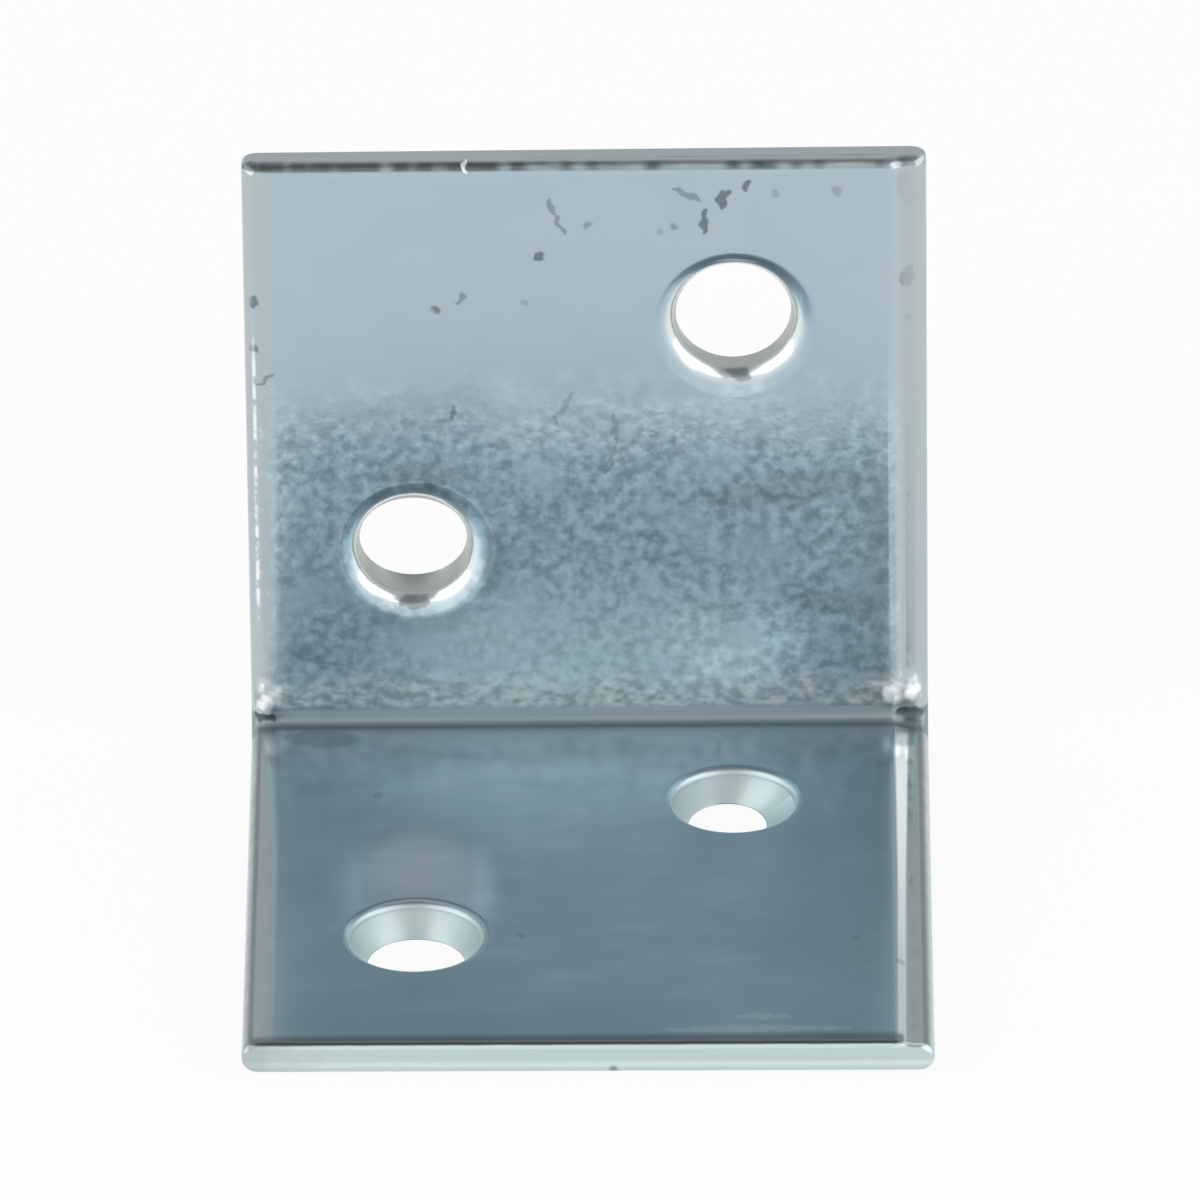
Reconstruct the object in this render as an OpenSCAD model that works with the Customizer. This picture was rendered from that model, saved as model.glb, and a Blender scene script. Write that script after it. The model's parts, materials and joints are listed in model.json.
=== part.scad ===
// Angle bracket: one strip of steel sheet, folded once into two equal legs.
// Each leg has two screw holes set on the slant, with rims rolled inwards by the punch.
// The fold runs along X, the upright leg stands at the back (+Y) and the foot lies towards -Y.
// The underside of the foot is at Z = 0, and the origin is in the middle of the foot's footprint.

/* [Sheet] */
// Thickness of the steel sheet
sheet_t = 1.5; // [1.2:0.1:2]
// Width of the bracket along the fold
bracket_w = 30; // [26:0.5:60]

/* [Legs] */
// Height of the upright leg, from the underside to its top edge
upright_h = 29.5; // [28:0.5:60]
// Length of the foot, from the back face to its front edge
foot_l = 29.5; // [28:0.5:60]
// Inside radius of the fold
fold_inner_r = 0.5; // [0.3:0.1:1.5]

/* [Edges] */
// Radius of the outline's corners at the free ends
corner_r = 0.3; // [0.2:0.1:3]
// Width of the band along each side where the inner face is drawn down
side_band_w = 2.2; // [1.2:0.1:3]
// How far that band drops by the side
side_band_drop = 0.18; // [0.05:0.01:0.3]
// Radius of the side edges, on the inner face
side_inner_r = 0.6; // [0.2:0.05:0.8]
// Radius of the side edges, on the outer face
side_outer_r = 0.6; // [0.2:0.05:0.8]
// Radius of the free ends' edges, on the inner face
end_inner_r = 0.6; // [0.2:0.05:0.7]
// Radius of the free ends' edges, on the outer face
end_outer_r = 0.2; // [0.05:0.05:0.4]

/* [Screw holes] */
// Diameter of the screw holes
bore_d = 4.9; // [3:0.1:5.5]
// Radius of the rolled rim round each screw hole, on the inner face
rim_r = 0.7; // [0.3:0.05:0.9]
// Distance of the left holes' centres from the left side edge
hole_from_left = 7.4; // [5:0.1:10]
// Distance of the right holes' centres from the right side edge
hole_from_right = 8.6; // [5:0.1:10]
// Height of the upright leg's lower hole above the underside
upright_near = 10.2; // [7:0.1:12]
// Distance of the upright leg's upper hole from the top edge
upright_far = 7.9; // [5:0.1:9]
// Distance of the foot's rear hole from the back face
foot_near = 8.7; // [7:0.1:12]
// Distance of the foot's front hole from the front edge
foot_far = 9.1; // [5:0.1:9.5]

/* [Hidden] */
$fn = 96;
// A cutter passes this far beyond the sheet
over = 1;
half_w = bracket_w / 2;
fold_outer_r = fold_inner_r + sheet_t;
bore_r = bore_d / 2;
// Flat that is always left on a side between its two rounded edges
side_land = 0.1;
side_round_max = (sheet_t - side_band_drop - side_land) / 2;
inner_round = min(side_inner_r, side_round_max);
outer_round = min(side_outer_r, side_round_max);
// Arc of the band: it leaves the face tangent and drops side_band_drop over side_band_w
band_arc_r = (side_band_w * side_band_w + side_band_drop * side_band_drop) / (2 * side_band_drop);
// Depth of the inner round's centre, where the round touches both the band's arc and the side
round_gap = band_arc_r - inner_round;
round_offset = side_band_w - inner_round;
inner_round_y = band_arc_r - sqrt(round_gap * round_gap - round_offset * round_offset);
// Straight length of a leg beyond the fold
upright_straight = upright_h - fold_outer_r;
foot_straight = foot_l - fold_outer_r;
left_x = hole_from_left - half_w;
right_x = half_w - hole_from_right;

// Waste between a square corner at the origin and a round of radius r, in the quarter x < 0, y < 0
module corner_waste(r) {
    difference() {
        translate([-r, -r]) square([r + over, r + over]);
        translate([-r, -r]) circle(r);
    }
}

// Section across the strip: x is the width, y = 0 the inner face and y = sheet_t the outer face
module strip_section() {
    difference() {
        translate([-half_w, 0]) square([bracket_w, sheet_t]);
        for (side = [0, 1]) mirror([side, 0]) {
            side_band_waste();
            side_round_waste();
            translate([half_w, sheet_t]) corner_waste(outer_round);
        }
    }
}

// What the band's arc leaves off the inner face beside the right side
module side_band_waste() {
    difference() {
        translate([half_w - side_band_w, -over]) square([side_band_w + over, inner_round_y + over]);
        translate([half_w - side_band_w, band_arc_r]) circle(band_arc_r);
    }
}

// What the inner round takes off between the band's arc and the right side
module side_round_waste() {
    centre = [half_w - inner_round, inner_round_y];
    to_arc = [round_offset, inner_round_y - band_arc_r] / round_gap;
    difference() {
        polygon([
            centre,
            centre + to_arc * (inner_round + over),
            [half_w + over, -over],
            [half_w + over, inner_round_y]
        ]);
        translate(centre) circle(inner_round);
    }
}

// Outline of a leg seen square to its face, from y = 0 at the fold to the free end at y = l
module leg_outline(l) {
    difference() {
        translate([-half_w, 0]) square([bracket_w, l]);
        for (side = [0, 1]) mirror([side, 0]) translate([half_w, l]) corner_waste(corner_r);
    }
}

// Section along a leg: x runs from the fold to the free end, y is the thickness as in strip_section
module leg_length_section(l) {
    difference() {
        square([l, sheet_t]);
        translate([l, 0]) mirror([0, 1]) corner_waste(end_inner_r);
        translate([l, sheet_t]) corner_waste(end_outer_r);
    }
}

// Straight part of a leg: inner face at y = 0, outer face at y = sheet_t, fold at z = 0
module leg(l) {
    intersection() {
        linear_extrude(l) strip_section();
        translate([0, sheet_t, 0]) rotate([90, 0, 0]) linear_extrude(sheet_t) leg_outline(l);
        translate([half_w, 0, 0]) rotate([0, -90, 0]) linear_extrude(bracket_w) leg_length_section(l);
    }
}

// Quarter turn of the strip round the fold's axis, which lies along X through the origin
module fold() {
    rotate([-90, 0, 0]) rotate([0, -90, 0]) rotate_extrude(angle = 90)
        translate([fold_inner_r, 0]) rotate(90) mirror([0, 1]) strip_section();
}

// One screw hole along y, with its rim rolled in at the inner face y = 0
module screw_hole() {
    rotate([-90, 0, 0]) {
        translate([0, 0, -over]) cylinder(r = bore_r, h = sheet_t + 2 * over);
        rotate_extrude() translate([bore_r, 0]) difference() {
            translate([-over, -over]) square([over + rim_r, over + rim_r]);
            translate([rim_r, rim_r]) circle(rim_r);
        }
    }
}

module angle_bracket() {
    color([0.66, 0.71, 0.73]) translate([0, foot_l / 2, 0]) difference() {
        union() {
            translate([0, -sheet_t, fold_outer_r]) leg(upright_straight);
            translate([0, -fold_outer_r, sheet_t]) rotate([-90, 0, 180]) leg(foot_straight);
            translate([0, -fold_outer_r, fold_outer_r]) fold();
        }
        translate([left_x, -sheet_t, upright_near]) screw_hole();
        translate([right_x, -sheet_t, upright_h - upright_far]) screw_hole();
        translate([right_x, -foot_near, sheet_t]) rotate([-90, 0, 0]) screw_hole();
        translate([left_x, foot_far - foot_l, sheet_t]) rotate([-90, 0, 0]) screw_hole();
    }
}

angle_bracket();
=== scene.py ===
"""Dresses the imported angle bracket: its sheet steel body, its zinc finish and the studio round it."""

import json
import math
from types import SimpleNamespace

import bpy
from mathutils import Matrix, Vector


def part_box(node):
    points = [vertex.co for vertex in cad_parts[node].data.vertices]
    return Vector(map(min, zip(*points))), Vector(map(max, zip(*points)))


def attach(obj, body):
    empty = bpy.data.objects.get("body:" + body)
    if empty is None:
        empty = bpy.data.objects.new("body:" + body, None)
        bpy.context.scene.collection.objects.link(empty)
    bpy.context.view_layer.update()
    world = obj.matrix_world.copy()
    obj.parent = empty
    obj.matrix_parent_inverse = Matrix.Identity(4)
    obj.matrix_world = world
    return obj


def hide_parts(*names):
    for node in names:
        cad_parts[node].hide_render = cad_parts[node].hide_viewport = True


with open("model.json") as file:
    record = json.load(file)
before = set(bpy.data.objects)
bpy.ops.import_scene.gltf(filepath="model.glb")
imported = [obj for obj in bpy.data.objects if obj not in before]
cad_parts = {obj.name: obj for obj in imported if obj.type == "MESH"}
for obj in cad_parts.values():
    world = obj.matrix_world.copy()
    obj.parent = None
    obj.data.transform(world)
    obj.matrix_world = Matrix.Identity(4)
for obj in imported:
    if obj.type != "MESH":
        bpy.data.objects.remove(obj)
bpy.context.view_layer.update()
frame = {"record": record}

bl_info = {
    "name": "Angle Bracket",
    "version": (1, 0, 0),
    "blender": (4, 5, 0),
    "location": "3D View > Sidebar > Bracket",
    "description": "Models a folded steel angle bracket with rolled edges and a bright zinc finish",
    "category": "Add Mesh",
}

MM = 0.001

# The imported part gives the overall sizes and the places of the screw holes
LOW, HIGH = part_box("angle_bracket")
WIDTH = HIGH[0] - LOW[0]
HALF = WIDTH / 2
BACK_Y = HIGH[1]
FRONT_Y = LOW[1]
TOP_Z = HIGH[2]
MOUNTS = {mount["name"]: mount for mount in frame["record"]["mounts"]}
# Two points closer than this are the same place
NEAR = 0.004 * MM


class BracketSizes(bpy.types.PropertyGroup):
    """Sizes of the sheet, its edges and its screw holes."""

    sheet_t: bpy.props.FloatProperty(
        name="Sheet", description="Thickness of the steel sheet", default=1.5 * MM,
        unit="LENGTH", precision=5)
    fold_r: bpy.props.FloatProperty(
        name="Fold radius", description="Inside radius of the fold", default=0.5 * MM,
        unit="LENGTH", precision=5)
    band_w: bpy.props.FloatVectorProperty(
        name="Side bands",
        description="Width of the left and the right band where the inner face is drawn down",
        size=2, default=(1.25 * MM, 1.6 * MM), unit="LENGTH", precision=5)
    knee_w: bpy.props.FloatVectorProperty(
        name="Knees", description="Distance of the left and the right band's knee from the side", size=2,
        default=(0.75 * MM, 1.1 * MM), unit="LENGTH", precision=5)
    knee_drop: bpy.props.FloatVectorProperty(
        name="Knee drop", description="How far the left and the right band drop by the knee", size=2,
        default=(0.03 * MM, 0.20 * MM), unit="LENGTH", precision=5)
    band_drop: bpy.props.FloatVectorProperty(
        name="Band drop", description="How far the left and the right band drop by the side", size=2,
        default=(0.12 * MM, 0.24 * MM), unit="LENGTH", precision=5)
    side_r: bpy.props.FloatProperty(
        name="Side round", description="Radius of the side edges", default=0.6 * MM,
        unit="LENGTH", precision=5)
    end_inner_r: bpy.props.FloatVectorProperty(
        name="End rounds, inner",
        description="Radius of the upright's and the foot's end edge on the inner face",
        size=2, default=(0.6 * MM, 0.25 * MM), unit="LENGTH", precision=5)
    foot_more: bpy.props.FloatProperty(
        name="Foot length, more", description="How much longer the foot is than drawn", default=0.2 * MM,
        unit="LENGTH", precision=5)
    end_outer_r: bpy.props.FloatProperty(
        name="End round, outer", description="Radius of the free ends' edges on the outer face",
        default=0.2 * MM, unit="LENGTH", precision=5)
    corner_r: bpy.props.FloatProperty(
        name="Corner", description="Radius of the outline's corners at the free ends", default=0.3 * MM,
        unit="LENGTH", precision=5)


class ZincLook(bpy.types.PropertyGroup):
    """Colours and gloss of the zinc plating."""

    zinc: bpy.props.FloatVectorProperty(
        name="Zinc", description="Colour of the clean plating", subtype="COLOR", size=3,
        default=(0.445, 0.545, 0.595))
    gloss: bpy.props.FloatProperty(
        name="Roughness", description="Roughness of the clean plating", default=0.18, min=0.02, max=1.0)
    haze_gloss: bpy.props.FloatProperty(
        name="Haze", description="Roughness of the haze over the mirror", default=0.5, min=0.02, max=1.0)
    peel: bpy.props.FloatProperty(
        name="Orange peel", description="Strength of the fine dimples in the plating",
        default=1.0, min=0.0, max=4.0)


class StudioLook(bpy.types.PropertyGroup):
    """Camera and light of the studio."""

    camera_height: bpy.props.FloatProperty(
        name="Camera height", description="Angle of the camera above the level", subtype="ANGLE",
        default=math.radians(29.3))
    camera_turn: bpy.props.FloatProperty(
        name="Camera turn", description="Angle of the camera about the vertical, from straight ahead",
        subtype="ANGLE", default=math.radians(0.467))
    camera_roll: bpy.props.FloatProperty(
        name="Camera roll", description="Turn of the camera about its own line of sight", subtype="ANGLE",
        default=math.radians(-0.647))
    camera_distance: bpy.props.FloatProperty(
        name="Camera distance", description="Distance from the camera to the point that it looks at",
        default=0.99736, unit="LENGTH", precision=5)
    camera_aim: bpy.props.FloatVectorProperty(
        name="Camera aim", description="Point of the upright leg that the camera looks at", size=3,
        default=(0.508 * MM, 13.25 * MM, 7.621 * MM), subtype="TRANSLATION", unit="LENGTH", precision=5)
    lens: bpy.props.FloatProperty(
        name="Lens", description="Focal length of the camera, in millimetres",
        default=676.79, min=10, max=2000)
    softbox_power: bpy.props.FloatProperty(
        name="Softboxes", description="Power of each of the two softboxes, in watts",
        default=0.8, min=0)


# ---- Modelling by hand, in code ----

# Points into which the section's inner side is cut, and the steps of its soft knees and its round side edges
INNER_CUTS = 8
KNEE_STEPS = 5
SIDE_STEPS = 9
# Two more points lie this far inside each side band, for the press marks
INSIDE_BAND = (0.45 * MM, 0.9 * MM)
# The soft turns at a band's knee and crease each take this share of the strip between them
SOFT_SHARE = 0.3


def select_none():
    """Leaves nothing selected, so that the next operator acts only on what it makes."""
    bpy.ops.object.select_all(action="DESELECT")


def pick(piece, kind, test):
    """Selects, in edit mode, the vertices, edges or faces of the piece for which the test is true."""
    bpy.ops.object.mode_set(mode="OBJECT")
    mesh = piece.data
    for part in (*mesh.vertices, *mesh.edges, *mesh.polygons):
        part.select = False
    corners = mesh.vertices
    if kind == "VERT":
        for corner in corners:
            corner.select = test(corner.co)
    elif kind == "EDGE":
        for edge in mesh.edges:
            edge.select = all(test(corners[i].co) for i in edge.vertices)
    else:
        for face in mesh.polygons:
            face.select = all(test(corners[i].co) for i in face.vertices)
    bpy.ops.object.mode_set(mode="EDIT")
    bpy.ops.mesh.select_mode(type=kind)


def extrude(move):
    """Draws what is selected on by the move."""
    bpy.ops.mesh.extrude_region_move(TRANSFORM_OT_translate={"value": move})


def section(sizes, y):
    """The strip's section as one face at y, looking towards the foot's free end, inner side up."""
    centre = (0, y, sizes.sheet_t / 2)
    select_none()
    bpy.ops.mesh.primitive_plane_add(size=1, location=centre, rotation=(math.pi / 2, 0, 0))
    piece = bpy.context.object
    piece.name = "bracket_body"
    bpy.ops.object.transform_apply(location=True, rotation=True, scale=True)
    bpy.ops.object.mode_set(mode="EDIT")
    bpy.ops.transform.resize(value=(WIDTH, 1, sizes.sheet_t), center_override=centre)

    def pick_inner(side, across):
        """Picks the inner side's point at a distance from the middle."""
        pick(piece, "VERT", lambda p: p.z > sizes.sheet_t - NEAR and abs(p.x * side - across) < NEAR)

    # More points on the inner side: each side band's knee and crease, and the two for the press marks
    pick(piece, "EDGE", lambda p: p.z > sizes.sheet_t - NEAR)
    bpy.ops.mesh.subdivide(number_cuts=INNER_CUTS, ngon=True)
    for side, band_w, knee_w in zip((-1, 1), sizes.band_w, sizes.knee_w):
        places = (knee_w, band_w, *(band_w + further for further in INSIDE_BAND))
        for number, from_side in enumerate(places, start=1):
            now = HALF - number * WIDTH / (INNER_CUTS + 1)
            pick_inner(side, now)
            bpy.ops.transform.translate(value=(side * (HALF - from_side - now), 0, 0))
    # The bands drop towards the sides, and knees and creases are soft
    bands = zip((-1, 1), sizes.band_w, sizes.knee_w, sizes.knee_drop, sizes.band_drop)
    for side, band_w, knee_w, knee_drop, band_drop in bands:
        soft = SOFT_SHARE * (band_w - knee_w)
        for from_side, drop in ((0, band_drop), (knee_w, knee_drop)):
            pick_inner(side, HALF - from_side)
            bpy.ops.transform.translate(value=(0, 0, -drop))
        for from_side, drop in ((knee_w, knee_drop), (band_w, 0)):
            place = Vector((side * (HALF - from_side), y, sizes.sheet_t - drop))
            pick(piece, "VERT", lambda p: (p - place).length < NEAR)
            bpy.ops.mesh.bevel(offset=soft, segments=KNEE_STEPS, affect="VERTICES")
    # All four side edges are round
    pick(piece, "VERT", lambda p: abs(p.x) > HALF - NEAR)
    bpy.ops.mesh.bevel(offset=sizes.side_r, segments=SIDE_STEPS, affect="VERTICES")
    return piece


END_STEPS = 15


def round_off(sizes, end_r, away, outer_at):
    """Rounds the free end that is selected, which looks along away: its ring is drawn on and narrowed in steps.

    The inner face falls away in a round of end_r, and the outer face and the outline's corners in smaller ones.
    """
    depth = Vector((0, 0, 1)) if away.y else Vector((0, -1, 0))
    run, outer, thick, half = 0.0, 0.0, sizes.sheet_t, HALF
    for step in range(1, END_STEPS + 1):
        turn = math.pi / 2 * step / END_STEPS
        next_run = end_r * math.sin(turn)
        next_outer = fallen(sizes.end_outer_r, end_r - next_run)
        next_thick = sizes.sheet_t - end_r * (1 - math.cos(turn)) - next_outer
        next_half = HALF - fallen(sizes.corner_r, end_r - next_run)
        extrude(away * (next_run - run))
        narrower, thinner = next_half / half, next_thick / thick
        bpy.ops.transform.resize(
            value=(narrower, 1, thinner) if away.y else (narrower, thinner, 1),
            center_override=outer_at + depth * outer)
        bpy.ops.transform.translate(value=depth * (next_outer - outer))
        run, outer, thick, half = next_run, next_outer, next_thick, next_half


def fallen(radius, from_end):
    """How far a quarter round has fallen at a distance from the end that it rounds off."""
    if from_end >= radius:
        return 0.0
    return radius - math.sqrt(radius ** 2 - (radius - from_end) ** 2)


# The free ends are cut a little askew: the foot's runs forward and the upright's runs up to the right
FOOT_SKEW = 0.10 * MM
UPRIGHT_SKEW = 0.05 * MM
# Each half of an end is moved in this many steps across, and this much of the leg's length moves with it
SKEW_STEPS = 4
SKEW_DEEP = 0.9 * MM


def skew_ends(piece):
    """Draws the two free ends out by a hair on the right and in on the left."""
    for side in (-1, 1):
        for step in range(SKEW_STEPS):
            reach = HALF * (step + 0.5) / SKEW_STEPS
            pick(piece, "VERT", lambda p: p.y < FRONT_Y + SKEW_DEEP and p.x * side > reach)
            bpy.ops.transform.translate(value=(0, -side * FOOT_SKEW / SKEW_STEPS, 0))
            pick(piece, "VERT", lambda p: p.z > TOP_Z - SKEW_DEEP and p.x * side > reach)
            bpy.ops.transform.translate(value=(0, 0, side * UPRIGHT_SKEW / SKEW_STEPS))


# The fold is spun in steps, and short rings lie beside it on each leg: how many, and how long each is
SPIN_STEPS = 16
NEAR_FOLD = 14
SHORT = 0.2 * MM
# Doubles that the spin leaves are closer than this
DOUBLE = 0.0005 * MM


def fold_strip(sizes):
    """The whole strip, drawn from its section: foot, fold and upright leg in one."""
    fold_out = sizes.fold_r + sizes.sheet_t
    start_y = BACK_Y - fold_out
    piece = section(sizes, start_y)
    # Foot
    pick(piece, "FACE", lambda p: True)
    for _ in range(NEAR_FOLD):
        extrude((0, -SHORT, 0))
    upright_r, foot_r = sizes.end_inner_r
    foot_end = FRONT_Y - sizes.foot_more + foot_r
    extrude((0, foot_end - start_y + NEAR_FOLD * SHORT, 0))
    round_off(sizes, foot_r, Vector((0, -1, 0)), Vector((0, 0, 0)))
    # Fold
    pick(piece, "FACE", lambda p: abs(p.y - start_y) < NEAR)
    bpy.ops.mesh.spin(steps=SPIN_STEPS, angle=-math.pi / 2, center=(0, start_y, fold_out), axis=(1, 0, 0))
    # Upright leg
    for _ in range(NEAR_FOLD):
        extrude((0, 0, SHORT))
    extrude((0, 0, TOP_Z - upright_r - fold_out - NEAR_FOLD * SHORT))
    round_off(sizes, upright_r, Vector((0, 0, 1)), Vector((0, BACK_Y, 0)))
    bpy.ops.mesh.select_all(action="SELECT")
    bpy.ops.mesh.remove_doubles(threshold=DOUBLE)
    bpy.ops.mesh.normals_make_consistent(inside=False)
    press_fold(piece, sizes)
    raise_bulges(piece, sizes)
    skew_ends(piece)
    bpy.ops.object.mode_set(mode="OBJECT")
    return piece


# The pressed band over the fold leans out from the upright's face by this much at the fold, and ends at this height
# over the foot's inner face
PRESS_LEAN = 0.08 * MM
PRESS_TOP = 2.3 * MM
# Points down to this depth under the inner face lean with it
INNER_DEEP = 0.95 * MM


def press_fold(piece, sizes):
    """Leans the inner side of the rings over the fold forward, as the press leaves it."""
    fold_out = sizes.fold_r + sizes.sheet_t
    axis_y = BACK_Y - fold_out
    for number in range(1, SPIN_STEPS + 1):
        turn = math.pi / 2 * number / SPIN_STEPS

        def on_ring(p):
            out_y, down_z = p.y - axis_y, fold_out - p.z
            reach = math.hypot(out_y, down_z)
            return reach < sizes.fold_r + INNER_DEEP and abs(math.atan2(out_y, down_z) - turn) * reach < NEAR

        pick(piece, "VERT", on_ring)
        bpy.ops.transform.translate(value=(0, -PRESS_LEAN * math.sin(turn) ** 2, 0))
    inner_to = BACK_Y - sizes.sheet_t + INNER_DEEP
    for number in range(1, NEAR_FOLD):
        up = number * SHORT
        lean = PRESS_LEAN * max(0.0, 1 - (up + sizes.fold_r) / PRESS_TOP) / (1 - sizes.fold_r / PRESS_TOP)
        pick(piece, "VERT", lambda p: abs(p.z - fold_out - up) < NEAR and p.y < inner_to)
        bpy.ops.transform.translate(value=(0, -lean, 0))


# Bulges that the press raises at the ends of the fold: (across, up) and radius in mm, then the shift in mm
BULGES = [
    ((-14.25, 2.6), 1.1, (0.0, -0.30, 0.06)),
    ((13.95, 2.7), 1.2, (0.0, -0.34, 0.08)),
]
# A bulge's middle is looked for among the upright's points down to this depth under its inner face
FACE_DEEP = 0.35 * MM


def raise_bulges(piece, sizes):
    """Draws the upright's inner face out round the point nearest to each bulge's middle."""
    face_to = BACK_Y - sizes.sheet_t + FACE_DEEP
    fold_out = sizes.fold_r + sizes.sheet_t
    for (across, up), reach, shift in BULGES:
        bpy.ops.object.mode_set(mode="OBJECT")
        inner = [v.co.copy() for v in piece.data.vertices if v.co.y < face_to and v.co.z > fold_out]
        middle = min(inner, key=lambda p: math.hypot(p.x - across * MM, p.z - up * MM))
        pick(piece, "VERT", lambda p: (p - middle).length < NEAR)
        bpy.ops.transform.translate(
            value=Vector(shift) * MM, use_proportional_edit=True, use_proportional_connected=True,
            proportional_edit_falloff="SMOOTH", proportional_size=reach * MM)


# Screw holes, in mm, each with pairs (across, along): the bore's radius, how far its centre is off the drawn one,
# how wide and how deep its rim is rolled in, how far the rim's outline is off the bore, and how the bore's exit is
# narrowed and shifted
HOLES = {
    "upright_upper_hole": (2.56, (0.13, -0.02), (1.1, 0.85), (0.06, -0.14), (1.0, 0.96), (-0.05, -0.10)),
    "upright_lower_hole": (2.46, (-0.13, -0.03), (1.1, 0.80), (0.20, 0.03), (0.963, 0.785), (0.0, -0.08)),
    "foot_rear_hole": (2.70, (-0.05, 0.12), (0.42, 0.40), (0.03, 0.03), (0.64, 0.71), (-0.28, 0.24)),
    "foot_front_hole": (2.86, (0.02, 0.04), (0.42, 0.38), (0.05, 0.05), (0.75, 0.76), (0.04, 0.02)),
}
BORE_SIDES = 96
RIM_STEPS = 10


def cut_hole(piece, sizes, mount, shape):
    """Cuts one screw hole, rolls its rim in on the inner face and draws in its exit on the outer one."""
    bore_r, off, (rim_w, rim_deep), rim_off, narrowed, shifted = shape
    bore_r, rim_w, rim_deep = bore_r * MM, rim_w * MM, rim_deep * MM
    upright = abs(mount["axis"][1]) > 0.5
    flat, deep = (2, 1) if upright else (1, 2)

    def lay(across, along, depth=0.0):
        """A step on this leg's face, as a vector."""
        return Vector((across, depth, along) if upright else (across, along, depth))

    centre = Vector(mount["pos_m"]) + lay(*off) * MM
    inner_at = BACK_Y - sizes.sheet_t if upright else sizes.sheet_t
    outer_at = BACK_Y if upright else 0.0
    select_none()
    # The cutter passes well beyond both faces
    bpy.ops.mesh.primitive_cylinder_add(
        vertices=BORE_SIDES, radius=bore_r, depth=4 * sizes.sheet_t, location=centre,
        rotation=(math.pi / 2, 0, 0) if upright else (0, 0, 0))
    cutter = bpy.context.object
    select_none()
    piece.select_set(True)
    bpy.context.view_layer.objects.active = piece
    cut = piece.modifiers.new("bore", "BOOLEAN")
    cut.operation = "DIFFERENCE"
    cut.solver = "EXACT"
    cut.object = cutter
    bpy.ops.object.modifier_apply(modifier=cut.name)
    bpy.data.objects.remove(cutter)

    def ring(reach, at):
        """Picks the points at one reach from the hole's axis and one depth."""
        pick(piece, "VERT", lambda p: abs(math.hypot(p.x - centre.x, p[flat] - centre[flat]) - reach) < NEAR
             and abs(p[deep] - at) < NEAR)

    ring(bore_r, inner_at)
    bpy.ops.mesh.select_mode(type="EDGE")
    bpy.ops.mesh.bevel(offset=rim_deep, segments=RIM_STEPS, affect="EDGES", clamp_overlap=False)
    # The round becomes an oval one, wider than deep, and its outline moves off the bore's
    inward = math.copysign(1, outer_at - inner_at)
    for step in range(RIM_STEPS):
        turn = math.pi / 2 * step / RIM_STEPS
        share = 1 - math.sin(turn)
        reach, depth = rim_deep * share, rim_deep * (1 - math.cos(turn))
        ring(bore_r + reach, inner_at + inward * depth)
        wider = (bore_r + rim_w * share) / (bore_r + reach)
        bpy.ops.transform.resize(value=lay(wider, wider, 1), center_override=centre)
        bpy.ops.transform.translate(value=lay(*rim_off) * MM * share)
    ring(bore_r, outer_at)
    bpy.ops.transform.resize(value=lay(*narrowed, 1), center_override=centre)
    bpy.ops.transform.translate(value=lay(*shifted) * MM)
    bpy.ops.object.mode_set(mode="OBJECT")


# ---- Shader maths ----

class Value:
    """A socket of a shader tree. Arithmetic on it adds the Math nodes that work it out."""

    def __init__(self, finish, socket):
        self.finish = finish
        self.socket = socket

    def _math(self, operation, *terms):
        return self.finish.node("ShaderNodeMath", {"operation": operation}, dict(enumerate(terms)))

    def __add__(self, other):
        return self._math("ADD", self, other)

    def __sub__(self, other):
        return self._math("SUBTRACT", self, other)

    def __rsub__(self, other):
        return self._math("SUBTRACT", other, self)

    def __mul__(self, other):
        return self._math("MULTIPLY", self, other)

    def __abs__(self):
        return self._math("ABSOLUTE", self)

    def at_least(self, other):
        return self._math("MAXIMUM", self, other)

    def at_most(self, other):
        return self._math("MINIMUM", self, other)

    __radd__ = __add__
    __rmul__ = __mul__


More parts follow.
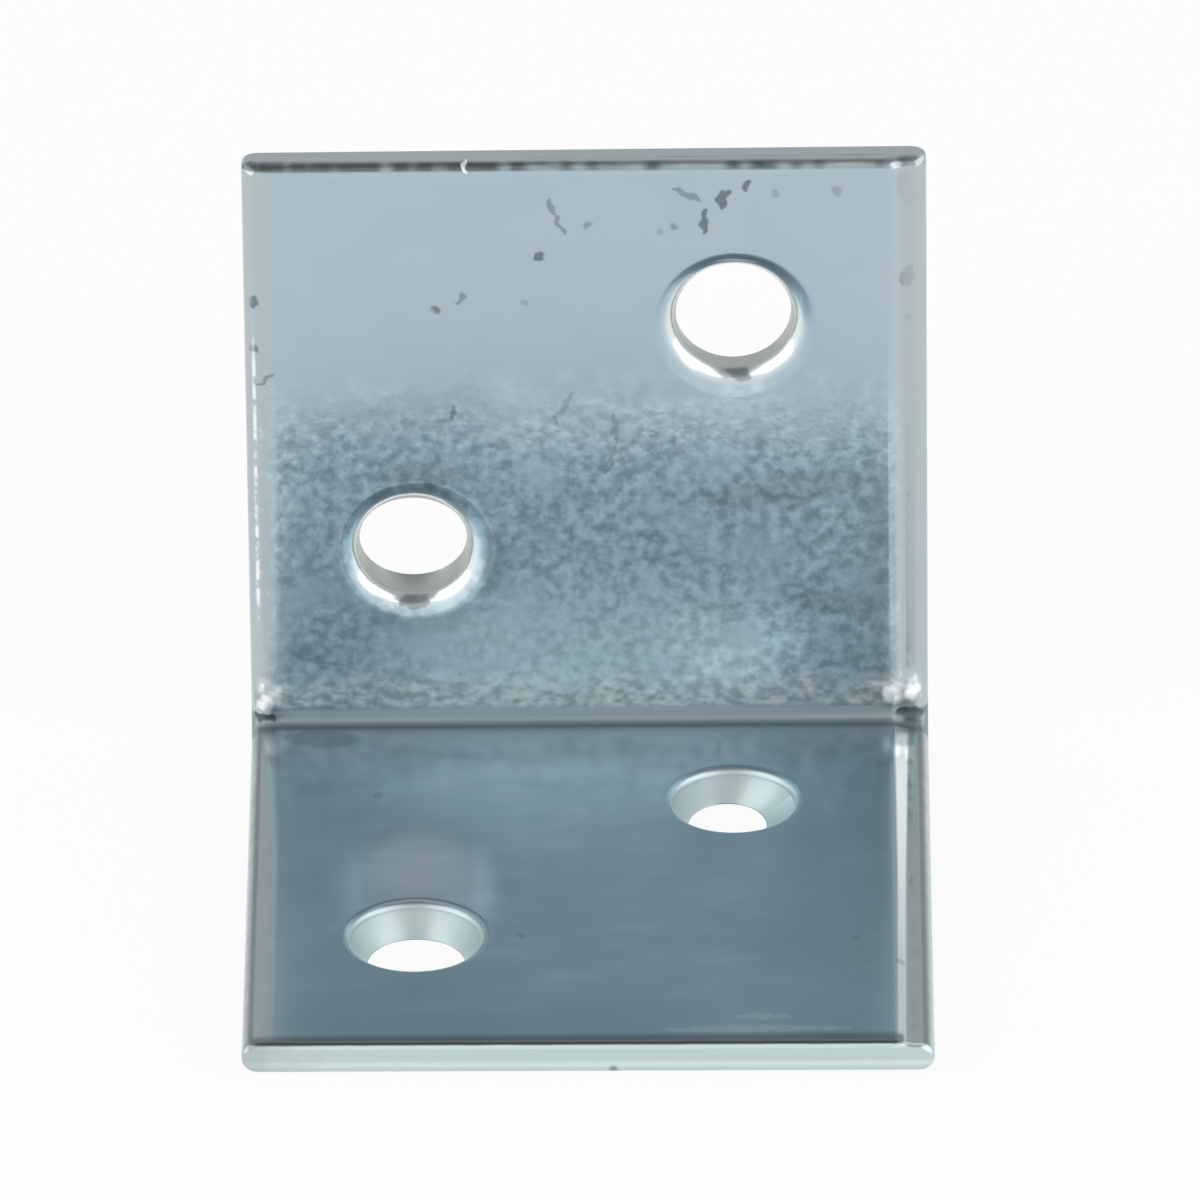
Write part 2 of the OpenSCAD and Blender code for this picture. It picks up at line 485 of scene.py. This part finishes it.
class Finish:
    """A node-based material, or the world's tree, and the one method that adds nodes to it."""

    def __init__(self, owner):
        owner.use_nodes = True
        self.tree = owner.node_tree
        self.tree.nodes.clear()

    def node(self, kind, settings=None, inputs=None, output=0):
        """Adds a node: its settings first, then the values or links of its sockets."""
        node = self.tree.nodes.new(kind)
        for name, value in (settings or {}).items():
            if name == "stops":
                self.set_stops(node.color_ramp, value)
            else:
                setattr(node, name, value)
        for name, value in (inputs or {}).items():
            socket = node.inputs[name]
            if isinstance(value, Value):
                self.tree.links.new(value.socket, socket)
            else:
                socket.default_value = value
        return Value(self, node.outputs[output]) if node.outputs else node

    @staticmethod
    def set_stops(ramp, stops):
        """Gives a ramp its greys: a place from 0 to 1 and a brightness for each."""
        ramp.interpolation = "EASE"
        while len(ramp.elements) > 1:
            ramp.elements.remove(ramp.elements[-1])
        for number, (place, grey) in enumerate(stops):
            element = ramp.elements[0] if number == 0 else ramp.elements.new(place)
            element.position = place
            element.color = (grey, grey, grey, 1)

    def between(self, value, low, high):
        """0 at low and 1 at high, with a soft change between them."""
        return self.node("ShaderNodeMapRange", {"interpolation_type": "SMOOTHSTEP"},
                         {"Value": value, "From Min": low, "From Max": high})

    def vector(self, operation, a, b=(0, 0, 0), c=(0, 0, 0), output="Vector"):
        """Works on places as a whole."""
        return self.node("ShaderNodeVectorMath", {"operation": operation}, {0: a, 1: b, 2: c}, output)

    def distance(self, a, b):
        """How far one place is from another."""
        return self.vector("DISTANCE", a, b, output="Value")

    def split(self, place):
        """The three coordinates of a place, as values."""
        outputs = self.node("ShaderNodeSeparateXYZ", {}, {0: place}).socket.node.outputs
        return [Value(self, output) for output in outputs]

    def stretch(self, place, factors):
        """Multiplies each coordinate of a place by its own factor."""
        return self.vector("MULTIPLY", place, factors)

    def noise(self, place, scale, detail=2.0, rough=0.5, output=0):
        """Soft noise from 0 to 1, or at output 1 a colour of three such noises."""
        return self.node("ShaderNodeTexNoise", {"noise_dimensions": "3D"},
                         {"Vector": place, "Scale": scale, "Detail": detail, "Roughness": rough}, output)

    def mix(self, factor, a, b):
        """Goes from one colour to the other: red, green and blue, or a value each."""
        a, b = (shade if isinstance(shade, Value) else (*shade, 1) for shade in (a, b))
        # A Mix node has its colours at inputs 6 and 7 and their blend at output 2
        return self.node("ShaderNodeMix", {"data_type": "RGBA"}, {0: factor, 6: a, 7: b}, 2)

    def paint(self, colour, layers):
        """Lays shades over a colour in turn: each layer is where it lies, how strong it is, and its shade."""
        for where, strength, shade in layers:
            colour = self.mix(where * strength, colour, shade)
        return colour

    def rays(self, kind):
        """1 for the rays of one kind, such as the camera's, and 0 for all others."""
        return self.node("ShaderNodeLightPath", output=kind)


# ---- Marks on the plating ----

# How strong each sort of mark is, from 0 to 1
BLACK, DARK, DULL, FAINT, SMEAR, SHADOW = 0.92, 0.75, 0.5, 0.3, 0.2, 0.16
BRIGHT, PALE = 0.95, 0.14

# Marks are strokes: (across, up) of both ends and a width, in mm. Stains and scratches of the upright's inner face,
# and at the last two strengths its wide soft smears and a painted shadow under its lower hole
UPRIGHT_MARKS_AND_SHADOW = {
    DARK: [
        ((-6.55, 22.28), (-6.45, 22.28), 0.26), ((-2.26, 24.89), (-1.82, 24.98), 0.22),
        ((5.32, 27.16), (5.25, 26.10), 0.24), ((6.30, 28.10), (6.00, 27.90), 0.24),
        ((6.05, 27.90), (6.04, 27.30), 0.26), ((7.15, 28.55), (7.10, 28.20), 0.24),
        ((-14.60, 22.85), (-14.62, 22.55), 0.30), ((-14.62, 20.50), (-14.64, 20.20), 0.24),
        ((14.20, 24.10), (14.12, 23.30), 0.36)],
    DULL: [
        ((-5.58, 22.62), (-5.22, 23.12), 0.20), ((-1.53, 27.82), (-1.36, 26.97), 0.16),
        ((-1.36, 26.97), (-0.80, 26.00), 0.16), ((0.17, 26.46), (0.10, 26.40), 0.24),
        ((3.90, 28.20), (5.10, 27.70), 0.20), ((3.98, 26.33), (4.05, 26.25), 0.22),
        ((14.17, 21.80), (14.17, 21.60), 0.20), ((-14.38, 18.54), (-13.62, 19.23), 0.15),
        ((14.10, 12.67), (14.08, 12.67), 0.20), ((-5.91, 17.50), (-5.80, 16.70), 0.17)],
    FAINT: [
        ((-2.80, 22.60), (-2.60, 22.70), 0.20), ((3.32, 26.13), (3.20, 26.10), 0.24),
        ((8.46, 28.13), (8.28, 27.83), 0.16), ((10.91, 28.26), (11.12, 27.85), 0.20),
        ((1.13, 17.20), (1.35, 15.60), 0.14),
        ((1.35, 15.60), (0.93, 14.00), 0.14), ((-0.49, 18.22), (-1.52, 16.47), 0.14)],
    SMEAR: [
        ((13.97, 28.83), (14.27, 27.34), 0.50), ((9.0, 7.6), (13.0, 7.2), 0.7),
        ((-4.3, 11.2), (-4.2, 8.2), 0.8), ((-9.0, 14.0), (-5.5, 14.0), 0.7),
        ((-13.3, 5.5), (-12.0, 4.6), 0.6), ((5.0, 12.5), (12.0, 13.6), 1.0)],
    SHADOW: [((-9.8, 6.6), (-5.4, 6.6), 0.9)],
}
# The same on the foot's inner face: (across, forward); the last stroke is a painted shadow on the foot by the fold's
# left end
FOOT_MARKS_AND_SHADOW = {
    FAINT: [
        ((11.50, -6.00), (11.75, -6.10), 0.24), ((-2.99, -5.60), (-2.95, -5.90), 0.20),
        ((-9.28, 6.80), (-9.28, 6.60), 0.26), ((13.55, -7.90), (13.60, -8.20), 0.24),
        ((-13.40, 11.90), (-10.20, 11.60), 0.90)],
}
# Light scuffs by the foot's front end
SCUFFS = {
    PALE: [((3.0, -13.9), (11.5, -13.8), 0.35), ((6.3, -12.7), (8.8, -12.9), 0.30)],
}
# Painted highlights on the bright lumps that the press leaves at the ends of the fold, and on a nick in the top
# arris: (across, up)
LUMP_HIGHLIGHTS = {
    BRIGHT: [
        ((-14.30, 2.75), (-14.30, 2.25), 0.42), ((13.20, 2.85), (13.55, 2.75), 0.50),
        ((14.30, 3.05), (14.35, 2.65), 0.44), ((-5.20, 29.42), (-5.15, 29.10), 0.14)],
}
# Painted shade in the notches under those lumps, and dark spots painted at the bottom of the upright's two rims
NOTCH_SHADES = {
    BLACK: [((-14.80, 1.85), (-13.90, 1.80), 0.28), ((13.60, 1.85), (14.80, 1.70), 0.42)],
    DULL: [((6.25, 18.80), (7.10, 18.80), 0.32), ((-8.30, 7.45), (-7.00, 7.45), 0.30)],
}
# A mark fades in from a little outside its outline, at 1, to well inside it
MARK_FROM, MARK_TO = 1.1, 0.2


def strokes(finish, flat, marks):
    """Where the marks lie on a face whose flat place is given, from 0 to the strength of each.

    Each mark is an oval drawn with a loop of string round its two ends, twice as broad as its width.
    """
    marked = None
    for strength, group in marks.items():
        nearest = None
        for start, end, width in group:
            start, end = Vector((*start, 0)), Vector((*end, 0))
            string = finish.distance(flat, start)
            length = (end - start).length
            if length < width / 2:
                string = string * (1 / width)
            else:
                spare = math.hypot(length, 2 * width) - length
                string = (string + finish.distance(flat, end) - length) * (1 / spare)
            nearest = string if nearest is None else nearest.at_most(string)
        mark = finish.between(nearest, MARK_FROM, MARK_TO) * strength
        marked = mark if marked is None else marked.at_least(mark)
    return marked


# ---- The zinc plating ----

# Unevenness of the surface, in mm: the sheet's waves, the plating's grain on clean zinc, on the upright's lower half
# and on the pressed band, and the ragged edges and rims
WAVE_HEIGHT = 0.03
CLEAN_GRAIN, LOW_GRAIN, PRESS_GRAIN = 0.0015, 0.009, 0.03
EDGE_HEIGHT = 0.05
# Share of the hazy shader on clean zinc
CLEAN_HAZE = 0.27


def find_places(zinc, sizes):
    """Where a point of the surface lies, in mm, and how far it belongs to each place with a look of its own.

    Each place is 0 outside and 1 inside. Its edges fade between two distances, the outer one of which comes first.
    """
    between = zinc.between
    place = zinc.node("ShaderNodeTexCoord", output="Object")
    mm = zinc.node("ShaderNodeVectorMath", {"operation": "SCALE"}, {0: place, "Scale": 1 / MM})
    x, y, z = zinc.split(mm)
    face_z = round(sizes.sheet_t / MM, 3)
    face_y, front, top = BACK_Y / MM - face_z, FRONT_Y / MM, TOP_Z / MM
    ragged = zinc.noise(mm, 1.1, 0.0)
    grain = zinc.noise(mm, 1.9, 2.0, 0.55)
    clouds = zinc.noise(mm, 0.36, 1.0, 0.6)

    # The upright's inner side with the fold, then without it, then without the rims too; the foot's inner face;
    # and the side bands
    upright = between(y, face_y - 0.75, face_y - 0.65) * between(y, face_y + 0.7, face_y + 0.5)
    on_upright = upright * between(z, face_z + 0.5, face_z + 0.9)
    on_face = on_upright * between(y, face_y + 0.30, face_y + 0.05)
    on_foot = between(z, face_z - 0.5, face_z - 0.3) * between(z, face_z + 0.5, face_z + 0.3)
    sides = between(x, -13.5, -14.3).at_least(between(x, 13.2, 13.9))
    # The upright's lower half, the painted glow over its pressed band, and a duller, painted darker patch behind the
    # foot's rear hole
    low = on_face * between(z + ragged * 2.5, 20.8, 16.0)
    painted_glow = between(z, 10.5, 5.5) * between(abs(x + 1.0), 11.0, 3.0) * on_face
    dulled_and_shaded = between(zinc.distance(mm, (6.4, face_y, 5.5)), 3.8, 1.4) * on_face
    # The pressed band, the fold, the painted highlight streak where the foot's right band sets in, and the foot by
    # the fold with its painted shade
    press = on_face * between(z + ragged * 1.6, 5.0, 3.7)
    fold = between(y, face_y - 0.75, face_y - 0.45) * between(z, face_z + 0.8, face_z + 0.5)
    streak_at = 13.71 + y * 0.008
    highlight_streak = between(abs(x - streak_at) - y.at_least(0.0) * 0.009, 0.25, 0.11) * on_foot * (1 - fold)
    by_fold_shaded = on_foot * between(y, face_y - 3.2, face_y - 0.8) * (1 - highlight_streak)
    # The upright's rims and bores, and the walls of the foot's holes
    rim = on_upright * between(y, face_y + 0.04, face_y + 0.25) * (1 - sides)
    midst = between(abs(x), 12.5, 11.5)
    bore = midst * between(z, 4.0, 5.5) * between(z, top - 2.0, top - 3.0)
    bore = bore * between(y, face_y + 0.32, face_y + 0.62) * between(y, face_y + 1.49, face_y + 1.45)
    cone = midst * between(z, face_z - 0.06, face_z - 0.18) * between(z, 0.01, 0.04)
    cone = cone * between(y, front + 2.0, front + 3.0) * between(y, 11.0, 10.0)
    # The cut ends
    front_cut = between(y, front - 0.02, front - 0.12) * between(z, face_z - 0.08, face_z - 0.14)
    top_cut = between(z, top - 0.14, top - 0.06)

    # The flat places on which the marks are drawn, with a wobble that makes their outlines uneven
    wobble = zinc.noise(mm, 2.4, 0.0, output=1)
    shift = zinc.vector("MULTIPLY_ADD", wobble, (0.4, 0.4, 0.4), (-0.2, -0.2, -0.2))
    shifted_x, shifted_y, shifted_z = zinc.split(zinc.vector("ADD", mm, shift))
    upright_flat = zinc.node("ShaderNodeCombineXYZ", {}, {0: shifted_x, 1: shifted_z})
    foot_flat = zinc.node("ShaderNodeCombineXYZ", {}, {0: shifted_x, 1: shifted_y})
    # The lumps by the fold, where highlights are painted
    lump_highlights = strokes(zinc, upright_flat, LUMP_HIGHLIGHTS) * upright

    return SimpleNamespace(
        mm=mm, x=x, y=y, z=z, face_y=face_y, face_z=face_z, front=front, top=top,
        ragged=ragged, grain=grain, clouds=clouds, upright=upright, on_upright=on_upright, on_face=on_face,
        on_foot=on_foot, sides=sides, low=low, painted_glow=painted_glow, dulled_and_shaded=dulled_and_shaded, press=press, fold=fold, highlight_streak=highlight_streak,
        by_fold_shaded=by_fold_shaded, rim=rim, bore=bore, cone=cone, front_cut=front_cut, top_cut=top_cut,
        upright_flat=upright_flat, foot_flat=foot_flat, lump_highlights=lump_highlights)


def relief(zinc, at, peel):
    """The bump of the surface, from its unevenness in mm."""
    waves = zinc.noise(at.mm, 0.20, 0.0)
    edges = zinc.between(at.z, at.face_z - 0.02, at.face_z - 0.20) * (1 - at.cone * 0.7) + at.rim
    grain_height = CLEAN_GRAIN + at.low * (LOW_GRAIN * peel) + at.press * PRESS_GRAIN
    height = waves * WAVE_HEIGHT + at.grain * grain_height + at.ragged * edges * EDGE_HEIGHT
    return zinc.node("ShaderNodeBump", {}, {"Strength": 1.0, "Distance": MM, "Height": height})


def plain_colour(zinc, at, look):
    """The clean plating, bluer in soft clouds, with painted shade on the foot and on the side bands."""
    red, green, blue = look.zinc
    clean = zinc.mix(zinc.between(at.clouds, 0.40, 0.60), look.zinc, (red * 0.97, green, blue * 1.02))
    # The side bands are painted greyer, and darker on the foot, as painted shade
    side_shade = zinc.mix(at.on_foot, (0.47, 0.53, 0.54), (0.35, 0.40, 0.41))
    return zinc.paint(clean, [(at.on_foot, 0.85, foot_shade_tint(zinc, at)), (at.sides, 0.75, side_shade)])


def foot_shade_tint(zinc, at):
    """Painted shade: the foot is darker than the upright, most to its front and right, with light and dark streaks
    across.
    """
    between, x, y, front = zinc.between, at.x, at.y, at.front
    streaks = zinc.noise(zinc.stretch(at.mm, (0.35, 0.9, 1.0)), 0.8, 2.0, 0.6)
    tint = zinc.mix(between(at.clouds, 0.38, 0.62), (0.385, 0.505, 0.545), (0.42, 0.505, 0.575))
    return zinc.paint(tint, [
        (between(y, 12.0, 3.0), 0.75, (0.24, 0.31, 0.37)),
        (between(streaks, 0.55, 0.28), 0.35, (0.22, 0.30, 0.33)),
        (between(streaks, 0.50, 0.75), 0.20, (0.50, 0.57, 0.64)),
        (between(x, 5.5, 11.5), 0.8, (0.24, 0.32, 0.35)),
        (between(x, -8.5, -12.5), 0.3, (0.28, 0.37, 0.40)),
        (between(y, front + 5.5, front + 0.7), 0.8, (0.235, 0.325, 0.365)),
    ])


def upright_layers(zinc, at):
    """The upright's lower half: painted lighter, with a painted glow and a painted darker patch, and mottled."""
    between, x, z = zinc.between, at.x, at.z
    lower = at.low * (1 - at.sides)
    patchy = lower * between(at.clouds, 0.12, 0.58) * (1 - at.painted_glow * 0.4)
    band_shade = between(x, 11.6, 13.0) * between(x, 13.8, 13.5) * between(z, 17.0, 11.0) * at.on_face
    return [
        # Painted light: the lower half is painted lighter, most in its middle, and a painted glow lies over the
        # pressed band
        (lower, 0.9, (0.575, 0.725, 0.795)),
        (at.low * between(abs(x - 3.5), 10.0, 5.0), 0.6, (0.74, 0.90, 0.97)),
        (at.painted_glow, 0.85, (0.80, 0.98, 1.0)),
        # Painted shade: a darker patch where the upright mirrors the foot's rear hole
        (at.dulled_and_shaded, 0.2, (0.36, 0.47, 0.52)),
        # Mottling, dark and light
        (between(at.grain, 0.68, 0.26) * patchy, 0.62, (0.17, 0.26, 0.30)),
        (between(at.grain, 0.57, 0.74) * at.low, 0.35, (0.80, 0.92, 0.95)),
        # Shade along the foot of the right band
        (band_shade, 0.4, (0.22, 0.28, 0.30)),
    ]


def fold_layers(zinc, at):
    """The pressed band with its dark and light scars, painted shade on the fold and the foot by it, and a painted
    highlight streak.
    """
    between, y, z, face_z = zinc.between, at.y, at.z, at.face_z
    pressed = zinc.noise(zinc.stretch(at.mm, (0.85, 1.0, 1.2)), 1.9, 1.0, 0.6)
    fold_shade = zinc.mix(between(z, face_z + 0.25, face_z + 0.60), (0.27, 0.34, 0.36), (0.50, 0.60, 0.63))
    fold_shade_line = between(abs(y - (at.face_y - 0.58)), 0.24, 0.06) * between(z, face_z + 0.4, face_z + 0.2)
    highlight_colour = zinc.mix(between(y, 8.0, -12.0), (0.96, 1, 1), (0.54, 0.67, 0.73))
    return [
        (at.press, 0.6, (0.48, 0.54, 0.56)),
        (between(pressed, 0.56, 0.32) * at.press, 0.5, (0.24, 0.28, 0.30)),
        (between(pressed, 0.48, 0.72) * at.press, 0.5, (0.85, 0.87, 0.87)),
        # Painted shade on the foot by the fold, on the fold itself, darkest low in it, and in a dark line along it
        (at.by_fold_shaded, 0.35, (0.34, 0.44, 0.46)),
        (at.fold, 1, fold_shade),
        (fold_shade_line, 0.15, (0.16, 0.20, 0.21)),
        # A painted highlight streak where the foot's right band sets in
        (at.highlight_streak, 1, highlight_colour),
    ]


def edge_layers(zinc, at):
    """Painted shade along the foot's side rounds and front arris, the holes and the two cut ends."""
    between, x, y, z, face_z, front = zinc.between, at.x, at.y, at.z, at.face_z, at.front
    side_shade_line = at.on_foot * between(abs(abs(x) - 14.62), 0.16, 0.04)
    # The front end has two bright strips rolled along it, and is darker at its left
    strips = between(abs(z - 1.27), 0.14, 0.04).at_least(between(abs(z - 0.42), 0.22, 0.04))
    front_tint = zinc.paint(zinc.mix(strips, (0.53, 0.64, 0.645), (0.64, 0.75, 0.755)), [
        (between(x + at.ragged * 4.0, -9.0, -13.5), 0.5, (0.42, 0.46, 0.45))])
    speck = between(zinc.distance(at.mm, (1.1, front - 0.15, 0.15)), 0.28, 0.10)
    front_arris_shade = between(y, front + 0.75, front + 0.2) * between(z, face_z - 0.14, face_z - 0.08)
    return [
        # Painted shade: a dark line along the foot's side rounds
        (side_shade_line, 0.55, (0.14, 0.16, 0.17)),
        (at.rim, 0.75, (0.84, 0.91, 0.91)),
        (at.bore, 0.85, (0.44, 0.445, 0.42)),
        (at.cone, 0.8, (0.54, 0.62, 0.62)),
        (at.top_cut, 1, (0.40, 0.445, 0.47)),
        (at.front_cut, 1, front_tint),
        (speck, 0.6, (0.10, 0.11, 0.11)),
        # Painted shade along the foot's front arris
        (front_arris_shade, 0.8, (0.13, 0.15, 0.16)),
    ]


def mark_layers(zinc, at):
    """Stains, scratches and scuffs, with painted shadows and painted shade among them; painted shade in dark dashes
    along the top arris and a broken painted highlight along the left one.

    The painted highlights on the lumps by the fold lie over them all.
    """
    between, x, z, top = zinc.between, at.x, at.z, at.top
    # Stains and scratches, with painted shadows and painted shade among them
    stained_and_shaded = (strokes(zinc, at.upright_flat, UPRIGHT_MARKS_AND_SHADOW) * at.on_face).at_least(
        strokes(zinc, at.foot_flat, FOOT_MARKS_AND_SHADOW) * at.on_foot).at_least(
        strokes(zinc, at.upright_flat, NOTCH_SHADES) * at.upright)
    scuffed = strokes(zinc, at.foot_flat, SCUFFS) * at.on_foot
    dashes = zinc.noise(zinc.stretch(at.mm, (1.1, 0.3, 0.3)), 1.0, 0.0) + x * 0.010
    top_arris_shade = between(z, top - 0.42, top - 0.30) * between(z, top - 0.02, top - 0.10) * at.upright
    left_arris_highlight = between(abs(x + 14.60), 0.12, 0.02) * between(at.grain, 0.34, 0.56) * at.on_upright
    left_arris_highlight = left_arris_highlight * between(z, 22.0, 19.0) * between(z, 6.0, 8.0)
    return [
        (stained_and_shaded, 1, (0.10, 0.13, 0.14)),
        (scuffed, 1, (0.80, 0.84, 0.84)),
        # Painted shade: dark dashes along the top arris
        (top_arris_shade * (0.25 + between(dashes, 0.72, 0.36) * 0.6), 1, (0.11, 0.13, 0.13)),
        # A broken painted highlight along the left arris
        (left_arris_highlight, 0.95, (0.92, 0.95, 0.95)),
        # The painted highlights on the lumps by the fold
        (at.lump_highlights, 1, (0.95, 0.96, 0.96)),
    ]


def haze_share(at):
    """Share of the hazy shader: the haze is thickest where the sheet was pressed or cut."""
    haze = CLEAN_HAZE + at.low * (0.11 + (at.clouds - 0.5) * 0.15)
    for where, more in (
            (at.painted_glow, 0.16), (at.dulled_and_shaded, 0.2), (at.press, 0.4), (at.fold, 0.7), (at.by_fold_shaded, 0.45),
            (at.bore, 0.4), (at.cone, 0.65), (at.front_cut, 0.3), (at.top_cut, 0.2), (at.lump_highlights, 0.6)):
        haze = haze + where * more
    haze.socket.node.use_clamp = True
    return haze


def zinc_plating(look, sizes):
    """Bright zinc on pressed steel: a sharp mirror under a haze, with the same colour and relief."""
    material = bpy.data.materials.new("bright_zinc")
    zinc = Finish(material)
    at = find_places(zinc, sizes)
    colour = zinc.paint(plain_colour(zinc, at, look), [
        *upright_layers(zinc, at), *fold_layers(zinc, at), *edge_layers(zinc, at), *mark_layers(zinc, at)])
    settings = {"Base Color": colour, "Metallic": 1.0, "Normal": relief(zinc, at, look.peel)}
    mirror = zinc.node("ShaderNodeBsdfPrincipled", {}, {**settings, "Roughness": look.gloss})
    hazy = zinc.node("ShaderNodeBsdfPrincipled", {}, {**settings, "Roughness": look.haze_gloss})
    surface = zinc.node("ShaderNodeMixShader", {}, {0: haze_share(at), 1: mirror, 2: hazy})
    zinc.node("ShaderNodeOutputMaterial", {}, {"Surface": surface})
    return material


# ---- The steps that the panel lists ----

# Edges turned by more than this are shaded sharp
SHARP = math.radians(40)


class BRACKET_OT_body(bpy.types.Operator):
    """Models the folded strip with its four screw holes and gives it the zinc finish"""
    bl_idname = "bracket.body"
    bl_label = "Bracket body"

    def execute(self, context):
        sizes = context.scene.bracket_sizes
        piece = fold_strip(sizes)
        for name, shape in HOLES.items():
            cut_hole(piece, sizes, MOUNTS[name], shape)
        bpy.ops.object.shade_smooth_by_angle(angle=SHARP)
        shading = piece.modifiers.new("shading", "WEIGHTED_NORMAL")
        shading.keep_sharp = True
        bpy.ops.object.modifier_apply(modifier=shading.name)
        piece.data.materials.append(zinc_plating(context.scene.bracket_zinc, sizes))
        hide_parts("angle_bracket")
        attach(piece, "root")
        return {"FINISHED"}


# The studio, in metres. The floor lies a hair under the foot
FLOOR_SIZE = 6
FLOOR_Z = -0.02 * MM
# How white the camera sees the floor: the rest is lit paper, which shows the bracket's shadow
FLOOR_WHITE = 0.9
# Way to the middle of the ceiling, and the room's greys: at 1 there, and at 0 square to that way and beyond
CEILING = (0.0, -0.342, 0.940)
ROOM_GREYS = [(0.0, 1.0), (0.41, 1.0), (0.64, 0.90), (0.77, 0.80), (0.93, 0.33), (1.0, 0.22)]
# The room is this much darker behind the bracket
BEHIND_DARK = 0.2
# Way to the right softbox, its distance and its sides
SOFTBOX_WAY = (0.82, -0.36, 0.43)
SOFTBOX_FAR = 0.4
SOFTBOX_SIDES = (0.56, 0.42)
# Width of the camera's film, in mm, and how far it sees
FILM_WIDTH = 36
SEES_TO = 50


class BRACKET_OT_studio(bpy.types.Operator):
    """Sets up the white floor, the soft light and the camera"""
    bl_idname = "bracket.studio"
    bl_label = "Studio"

    def execute(self, context):
        look = context.scene.bracket_studio
        self.floor()
        self.dome(context.scene)
        for side in (-1, 1):
            self.softbox(side, look.softbox_power)
        self.camera(context.scene, look)
        context.scene.view_settings.view_transform = "Standard"
        return {"FINISHED"}

    @staticmethod
    def floor():
        """White paper. The camera sees it nearly white, with a soft shadow, and the zinc mirrors it as white."""
        select_none()
        bpy.ops.mesh.primitive_plane_add(size=FLOOR_SIZE, location=(0, 0, FLOOR_Z))
        floor = bpy.context.object
        floor.name = "floor"
        paper = bpy.data.materials.new("white_paper")
        sheet = Finish(paper)
        seen = (sheet.rays("Is Camera Ray") * FLOOR_WHITE).at_least(
            sheet.rays("Is Glossy Ray")).at_least(sheet.rays("Is Transmission Ray"))
        lit = sheet.node("ShaderNodeBsdfDiffuse", {}, {"Color": (0.8, 0.8, 0.8, 1)})
        white = sheet.node("ShaderNodeEmission", {}, {"Color": (1, 1, 1, 1), "Strength": 1.0})
        both = sheet.node("ShaderNodeMixShader", {}, {0: seen, 1: lit, 2: white})
        sheet.node("ShaderNodeOutputMaterial", {}, {"Surface": both})
        floor.data.materials.append(paper)

    @staticmethod
    def dome(scene):
        """A white room with a darker ceiling, which is the light that the zinc mirrors."""
        world = bpy.data.worlds.new("studio_dome")
        scene.world = world
        dome = Finish(world)
        direction = dome.node("ShaderNodeTexCoord", output="Generated")
        facing = dome.vector("DOT_PRODUCT", direction, CEILING, output="Value")
        room = dome.node("ShaderNodeValToRGB", {"stops": ROOM_GREYS}, {0: facing})
        behind = dome.between(dome.vector("DOT_PRODUCT", direction, (0, 1, 0), output="Value"), 0.2, 0.8)
        room = dome.paint(room, [(behind, BEHIND_DARK, (0, 0, 0))])
        colour = dome.mix(dome.rays("Is Camera Ray"), room, (1, 1, 1))
        light = dome.node("ShaderNodeBackground", {}, {"Color": colour, "Strength": 1.0})
        dome.node("ShaderNodeOutputWorld", {}, {"Surface": light})

    @staticmethod
    def softbox(side, power):
        """An oblong lamp at the bracket's left or right, turned to it."""
        select_none()
        across, forward, up = SOFTBOX_WAY
        way = Vector((across * side, forward, up)).normalized()
        bpy.ops.object.light_add(type="AREA", location=way * SOFTBOX_FAR)
        box = bpy.context.object
        box.name = "softbox_right" if side > 0 else "softbox_left"
        box.data.shape = "RECTANGLE"
        box.data.size, box.data.size_y = SOFTBOX_SIDES
        box.data.energy = power
        box.rotation_euler = way.to_track_quat("Z", "Y").to_euler()

    @staticmethod
    def camera(scene, look):
        """Sets the camera back from the point that it looks at, along its line of sight."""
        select_none()
        bpy.ops.object.camera_add()
        camera = bpy.context.object
        camera.name = "camera"
        turn = (Matrix.Rotation(look.camera_turn, 3, "Z")
                @ Matrix.Rotation(math.pi / 2 - look.camera_height, 3, "X")
                @ Matrix.Rotation(look.camera_roll, 3, "Z"))
        camera.rotation_euler = turn.to_euler()
        camera.location = Vector(look.camera_aim) + turn @ Vector((0, 0, look.camera_distance))
        camera.data.sensor_width = FILM_WIDTH
        camera.data.lens = look.lens
        camera.data.clip_end = SEES_TO
        scene.camera = camera


class BRACKET_PT_panel(bpy.types.Panel):
    """Lists the bracket's sizes, its finish and the studio"""
    bl_idname = "BRACKET_PT_panel"
    bl_label = "Angle Bracket"
    bl_space_type = "VIEW_3D"
    bl_region_type = "UI"
    bl_category = "Bracket"

    def draw(self, context):
        scene = context.scene
        for group in (scene.bracket_sizes, scene.bracket_zinc, scene.bracket_studio):
            box = self.layout.box()
            for name in group.__annotations__:
                box.prop(group, name)
        self.layout.operator(BRACKET_OT_body.bl_idname)
        self.layout.operator(BRACKET_OT_studio.bl_idname)


CLASSES = (BracketSizes, ZincLook, StudioLook, BRACKET_OT_body, BRACKET_OT_studio, BRACKET_PT_panel)


def register():
    for cls in CLASSES:
        bpy.utils.register_class(cls)
    bpy.types.Scene.bracket_sizes = bpy.props.PointerProperty(type=BracketSizes)
    bpy.types.Scene.bracket_zinc = bpy.props.PointerProperty(type=ZincLook)
    bpy.types.Scene.bracket_studio = bpy.props.PointerProperty(type=StudioLook)


def unregister():
    del bpy.types.Scene.bracket_studio
    del bpy.types.Scene.bracket_zinc
    del bpy.types.Scene.bracket_sizes
    for cls in reversed(CLASSES):
        bpy.utils.unregister_class(cls)


def main():
    register()
    bpy.ops.bracket.body()
    bpy.ops.bracket.studio()


if __name__ == "__main__":
    main()
